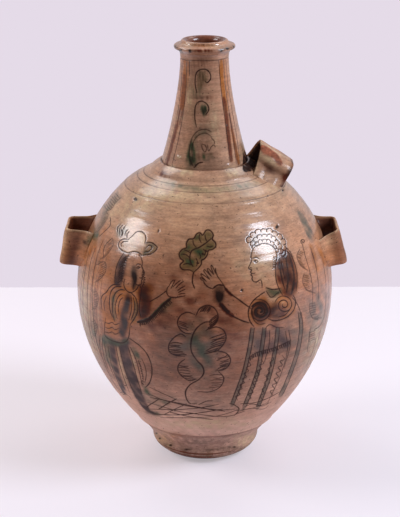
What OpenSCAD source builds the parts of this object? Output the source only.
// Earthenware pilgrim flask with three strap lugs.
// Millimetres, +Z up. The origin is the middle of the face the flask rests on,
// and +X points to the flask's left-hand side lug as its user sees it.

/* [Heights] */
// Overall height to the top of the lip
total_h = 400; // [392:1:412]
// Height of the seam between the turned foot and the body
foot_seam_z = 38; // [32:1:44]
// Height of the widest part of the belly
belly_z = 168; // [158:1:178]
// Height of the seam between the body and the shoulder cap
shoulder_seam_z = 266; // [261:1:270]
// Height of the neck's foot above the shoulder seam
neck_foot_z = 14.3; // [12:0.1:17]
// Height of the luting band round the foot of the neck
band_h = 7.7; // [6:0.1:9]
// Height of the mouth ring above the end of the neck
mouth_h = 16; // [14:0.5:18]

/* [Radii] */
// Radius of the flat face that the foot rests on
rest_r = 35; // [30:0.5:39]
// Radius of the foot where its edge is widest
foot_edge_r = 51; // [48:0.5:53]
// Radius at the foot seam
foot_seam_r = 66; // [62:0.5:69]
// Radius of the belly
belly_r = 120.5; // [116:0.5:124]
// Radius at the shoulder seam
shoulder_seam_r = 74.5; // [71:0.5:78]
// Radius at the lower edge of the luting band
band_r = 51.5; // [48:0.5:54]
// Radius of the neck at its foot
neck_foot_r = 40; // [37:0.5:42]
// Radius of the neck at its top, under the mouth ring
neck_top_r = 22.1; // [21:0.1:24]
// Radius of the mouth flange
flange_r = 27.9; // [26:0.1:30]
// Radius of the lip
lip_r = 21.4; // [20:0.1:23]
// Radius of the straight bore in the mouth that a stopper fills
bore_r = 15; // [12:0.5:16]

/* [Walls] */
// Wall of the body and the shoulder cap
wall = 8; // [6:0.5:9]
// Wall of the neck at its foot
neck_wall = 7; // [5.5:0.5:8]
// Thickness of the floor above the rest face
floor_t = 15; // [10:1:18]
// Width of the flat floor inside, from the axis
floor_r = 28; // [20:1:32]

/* [Curves] */
// Lean of the wall from upright at the foot seam, in degrees
foot_lean = 42; // [36:1:46]
// Lean of the wall from upright at the shoulder seam, in degrees
shoulder_lean = 47.5; // [42:0.5:52]
// Lean of the shoulder where the luting band meets it, in degrees
cap_lean = 60; // [54:1:64]
// Lean of the neck just above the luting band, in degrees
neck_lean = 18; // [14:1:21]

/* [Side lugs] */
// Thickness of the clay strap
strap_t = 5.5; // [4:0.5:7]
// Length of a side lug along its tunnel
side_len = 35; // [26:0.5:38]
// Width of a side lug, front to back
side_w = 45; // [34:1:48]
// Height of the middle of a side lug above the widest part of the belly
side_z = 42; // [37:1:45]
// Reach of a side lug beyond the belly's radius, at the lug's middle
side_reach = 11; // [8:0.1:14]
// Lean of a side lug from upright, in degrees
side_lean = 12; // [6:0.5:14]
// Outer corner radius of a side lug
side_corner = 7; // [6:0.5:10]

/* [Shoulder lug] */
// Length of the shoulder lug along its tunnel
top_len = 37.2; // [30:0.2:40]
// Width of the shoulder lug, front to back
top_w = 40; // [34:1:46]
// Distance of the shoulder lug's middle from the flask's axis
top_x = 56; // [53:0.5:60]
// Height of the shoulder lug's crown over the shoulder
top_rise = 21; // [18:0.5:25]
// Lean of the shoulder lug's tunnel from upright, in degrees
top_lean = 58; // [54:0.5:62]
// Outer corner radius of the shoulder lug
top_corner = 9; // [7:0.5:12]

/* [Fit] */
// Film of slip between a lug or the luting band and the wall it sits on
slip = 0.05; // [0:0.01:0.1]

/* [Hidden] */
$fn = 96;
STEPS = 14;
CLAY = [0.66, 0.52, 0.44];
DARK_CLAY = [0.45, 0.30, 0.22];

// Heights that follow from the driving ones
neck_top_z = total_h - mouth_h;
neck_stand_z = shoulder_seam_z + neck_foot_z;
band_top_z = neck_stand_z + band_h;

// Inner radii at the joints, a wall's thickness in from the outside
foot_seam_in = foot_seam_r - wall / cos(foot_lean);
shoulder_seam_in = shoulder_seam_r - wall / cos(shoulder_lean);
neck_foot_in = neck_foot_r - neck_wall;

// A point at distance d from p along a direction that leans by a from upright
function lean_up(p, a, d) = [p[0] + d * sin(a), p[1] + d * cos(a)];

// Points of a cubic curve from p to q with the handle points a and b
function curve(p, a, b, q) = [
    for (i = [0:STEPS])
        let (t = i / STEPS, s = 1 - t)
            s * s * s * p + 3 * s * s * t * a + 3 * s * t * t * b + t * t * t * q
];
function reversed(pts) = [for (i = [len(pts) - 1:-1:0]) pts[i]];

// Places on the outer and inner profiles, as [radius, height]
p_rest = [rest_r, 0];
p_edge = [foot_edge_r, 16];
p_foot = [foot_seam_r, foot_seam_z];
p_belly = [belly_r, belly_z];
p_shoulder = [shoulder_seam_r, shoulder_seam_z];
p_band = [band_r, neck_stand_z];
p_band_top = [neck_foot_r, band_top_z];
p_neck_top = [neck_top_r, neck_top_z];
i_floor = [floor_r, floor_t];
i_foot = [foot_seam_in, foot_seam_z];
i_belly = [belly_r - wall, belly_z];
i_shoulder = [shoulder_seam_in, shoulder_seam_z];
i_neck = [neck_foot_in, neck_stand_z];
i_mouth = [bore_r, neck_top_z];

// The turned foot: a rounded edge, a short upright waist and the flare to the seam
foot_out = concat(
    curve(p_rest, p_rest + [7, 3], p_edge - [0, 8], p_edge),
    curve(p_edge, p_edge + [0, 6], lean_up(p_foot, foot_lean, -9), p_foot));
foot_in = curve(i_floor, i_floor + [12, 0], lean_up(i_foot, foot_lean, -9), i_foot);

// The body: from the foot seam out to the belly and in to the shoulder seam
body_low = curve(p_foot, lean_up(p_foot, foot_lean, 75), p_belly - [0, 26], p_belly);
body_high = curve(p_belly, p_belly + [0, 44],
    lean_up(p_shoulder, -shoulder_lean, -30), p_shoulder);
body_low_in = curve(i_foot, lean_up(i_foot, foot_lean, 75), i_belly - [0, 26], i_belly);
body_high_in = curve(i_belly, i_belly + [0, 42],
    lean_up(i_shoulder, -shoulder_lean, -26), i_shoulder);

// The shoulder cap, from the seam up to the foot of the neck
cap_out = curve(p_shoulder, lean_up(p_shoulder, -shoulder_lean, 9),
    lean_up(p_band, -cap_lean, -9), p_band);
cap_in = curve(i_shoulder, lean_up(i_shoulder, -shoulder_lean, 9),
    lean_up(i_neck, -cap_lean - 10, -9), i_neck);

// The luting band, a flat roll of clay between the cap and the neck
band_out = curve(p_band, p_band + [-3, 3.6], p_band_top + [4.4, -1.6],
    p_band_top + [1.8, 0]);

// The neck, a straight foot inside the band and then a long hollow cone
neck_out = curve(p_band_top, lean_up(p_band_top, -neck_lean, 20),
    p_neck_top - [0, 28], p_neck_top);
neck_in = curve(i_neck, lean_up(i_neck, -neck_lean, 30), i_mouth - [0, 40], i_mouth);

// The mouth ring: a hollow throat, a rolled flange and a thin lip
roll_r = 2.1;
p_roll = [flange_r - roll_r, total_h - 6.2];
mouth_out = concat(
    curve(p_neck_top, p_neck_top + [0.2, 4.5], p_roll - [3.4, 3.4], p_roll - [-0.6, 2]),
    [for (a = [-60:15:75]) p_roll + roll_r * [cos(a), sin(a)]],
    curve([lip_r + 1.2, total_h - 2.8], [lip_r + 0.1, total_h - 2.2],
        [lip_r + 0.2, total_h - 0.4], [lip_r - 1.6, total_h]));
mouth_in = curve([bore_r, total_h - 4.5], [bore_r, total_h - 2.6],
    [bore_r + 1.4, total_h - 0.3], [lip_r - 2.6, total_h]);

// The outside of the whole flask, which the lugs are cut to. It stands off by the
// thickness of the slip film.
outline = concat([[0, 0]], foot_out, body_low, body_high, cap_out, band_out,
    neck_out, [[0, neck_top_z]]);
module seat() rotate_extrude() polygon([
    for (p = outline) [p[0] > 0 ? p[0] + slip : 0, p[1]]
]);

// A turned piece between an outer and an inner run of points
module turned(outer, inner) rotate_extrude() polygon(concat(outer, reversed(inner)));

module foot() color(DARK_CLAY)
    rotate_extrude() polygon(concat([[0, 0]], foot_out, reversed(foot_in), [[0, floor_t]]));

module body() color(CLAY)
    turned(concat(body_low, body_high), concat(body_low_in, body_high_in));

module shoulder_cap() color(CLAY) turned(cap_out, cap_in);

module neck_band() color(CLAY) turned(band_out, [
    [neck_foot_r + slip, neck_stand_z],
    [neck_foot_r + slip, band_top_z]
]);

module neck() color(CLAY) turned(concat([[neck_foot_r, neck_stand_z]], neck_out), neck_in);

module mouth_ring() color(CLAY) turned(mouth_out, concat([i_mouth], mouth_in));

// A rectangle with its two outer corners rounded. Its outer side lies on x = 0 and
// it runs to x = -deep.
module round_end(w, deep, r) {
    translate([-deep, -w / 2]) square([deep - r, w]);
    translate([-deep, -w / 2 + r]) square([deep, w - 2 * r]);
    for (s = [-1, 1])
        translate([-r, s * (w / 2 - r)]) circle(r);
}

// A clay strap bent to a U, with its tunnel upright and its outer side on x = 0
module strap(length, w, deep, r) translate([0, 0, -length / 2])
    linear_extrude(length) difference() {
        round_end(w, deep, r);
        translate([-strap_t, 0])
            round_end(w - 2 * strap_t, deep, max(1, r - strap_t));
    }

// A side lug, leaning in at its top and cut to the body's curve
module side_lug(side) color(CLAY) difference() {
    scale([side, 1, 1]) translate([belly_r + side_reach, 0, belly_z + side_z])
        rotate([0, -side_lean, 0]) strap(side_len, side_w, 36, side_corner);
    seat();
}
module left_lug() side_lug(-1);
module right_lug() side_lug(1);

// The shoulder lug lies along the slope of the shoulder, beside the neck. Its crown
// stands off the slope by top_rise at the lug's middle.
top_foot_z = shoulder_seam_z + neck_foot_z
    * (shoulder_seam_r - top_x) / (shoulder_seam_r - band_r);
module shoulder_lug() color(CLAY) difference() {
    translate([top_x + top_rise * cos(top_lean), 0, top_foot_z + top_rise * sin(top_lean)])
        rotate([0, -top_lean, 0]) strap(top_len, top_w, 44, top_corner);
    seat();
}

foot();
body();
shoulder_cap();
neck_band();
neck();
mouth_ring();
left_lug();
right_lug();
shoulder_lug();
